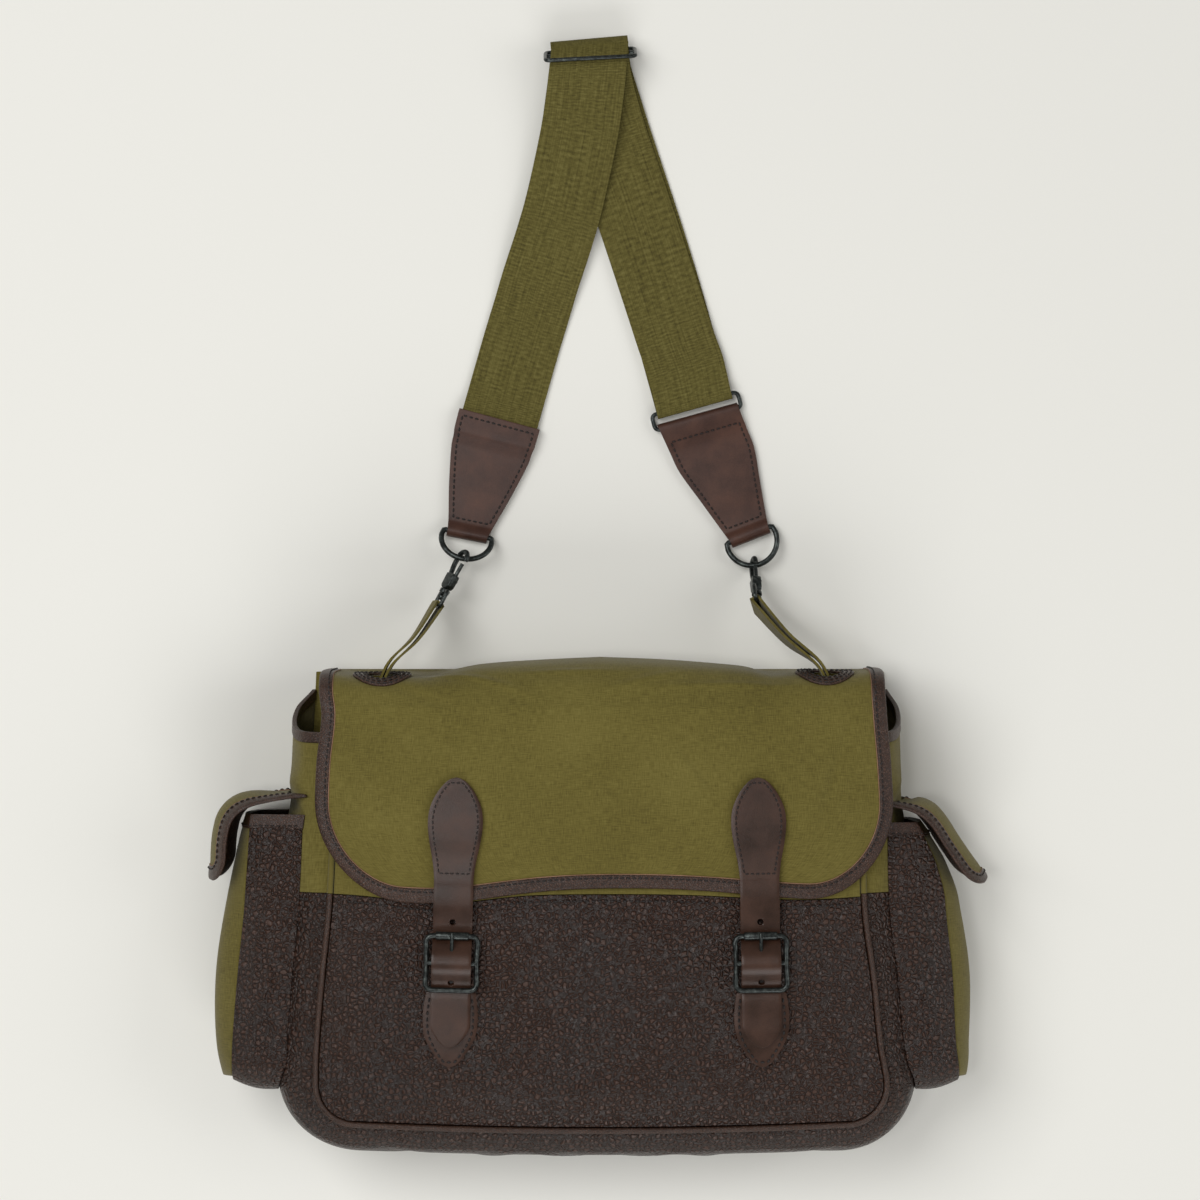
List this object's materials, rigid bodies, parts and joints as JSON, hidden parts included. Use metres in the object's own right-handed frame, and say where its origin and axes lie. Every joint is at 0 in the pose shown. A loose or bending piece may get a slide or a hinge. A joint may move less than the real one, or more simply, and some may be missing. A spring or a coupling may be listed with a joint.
{
  "type": "military field bag",
  "caption": "canvas and pebbled leather field bag lying on its back, with a buckled flap, side pockets and a webbing shoulder strap laid out above it",
  "frame": {"origin": "centre of the back panel's outer face, which the bag lies on", "axes": "+X to the right of the bag, +Y from its bottom to its mouth and on to the strap, +Z out of its front"},
  "size_m": [0.5058, 0.7325, 0.1119],
  "materials": {
    "canvas": "matt plain-woven cotton canvas",
    "webbing": "matt ribbed cotton webbing",
    "pebbled_leather": "pebbled dark brown leather with a soft shine",
    "smooth_leather": "fine-grained dark brown leather with a soft shine",
    "blackened_steel": "blackened steel, satin"
  },
  "bodies": {
    "bag": {"back_panel": "canvas", "flap": "canvas", "front_canvas": "canvas", "gusset_canvas_left": "canvas", "pocket_face_left": "canvas", "pocket_flap_left": "canvas", "tab_left": "canvas", "gusset_canvas_right": "canvas", "pocket_face_right": "canvas", "pocket_flap_right": "canvas", "tab_right": "canvas", "webbing": "webbing", "gusset_leather": "pebbled_leather", "front_leather": "pebbled_leather", "front_piping": "pebbled_leather", "flap_binding": "pebbled_leather", "pocket_gusset_left": "pebbled_leather", "pocket_binding_left": "pebbled_leather", "pocket_flap_binding_left": "pebbled_leather", "pocket_gusset_right": "pebbled_leather", "pocket_binding_right": "pebbled_leather", "pocket_flap_binding_right": "pebbled_leather", "mouth_trim_left": "smooth_leather", "flap_patch_left": "smooth_leather", "buckle_strap_left": "smooth_leather", "chape_left": "smooth_leather", "strap_end_left": "smooth_leather", "mouth_trim_right": "smooth_leather", "flap_patch_right": "smooth_leather", "buckle_strap_right": "smooth_leather", "chape_right": "smooth_leather", "strap_end_right": "smooth_leather", "slider": "blackened_steel", "strap_ring": "blackened_steel", "buckle_frame_left": "blackened_steel", "roller_left": "blackened_steel", "prong_left": "blackened_steel", "d_ring_left": "blackened_steel", "hook_left": "blackened_steel", "eye_left": "blackened_steel", "buckle_frame_right": "blackened_steel", "roller_right": "blackened_steel", "prong_right": "blackened_steel", "d_ring_right": "blackened_steel", "hook_right": "blackened_steel", "eye_right": "blackened_steel"},
    "gate_left": {"gate_left": "blackened_steel"},
    "gate_right": {"gate_right": "blackened_steel"}
  },
  "joints": [
    {"name": "gate_left_hinge", "type": "hinge", "parent": "bag", "child": "gate_left", "pos_m": [-0.09678, 0.20991, 0.02152], "axis": [-0.6875, 0.4528, 0.5677], "range_deg": [0, 20], "stiffness_Nm_per_rad": 0.02, "springref_deg": -17.19},
    {"name": "gate_right_hinge", "type": "hinge", "parent": "bag", "child": "gate_right", "pos_m": [0.1031, 0.20949, 0.02042], "axis": [-0.976, 0.0969, 0.1953], "range_deg": [0, 20], "stiffness_Nm_per_rad": 0.02, "springref_deg": -17.19}
  ]
}
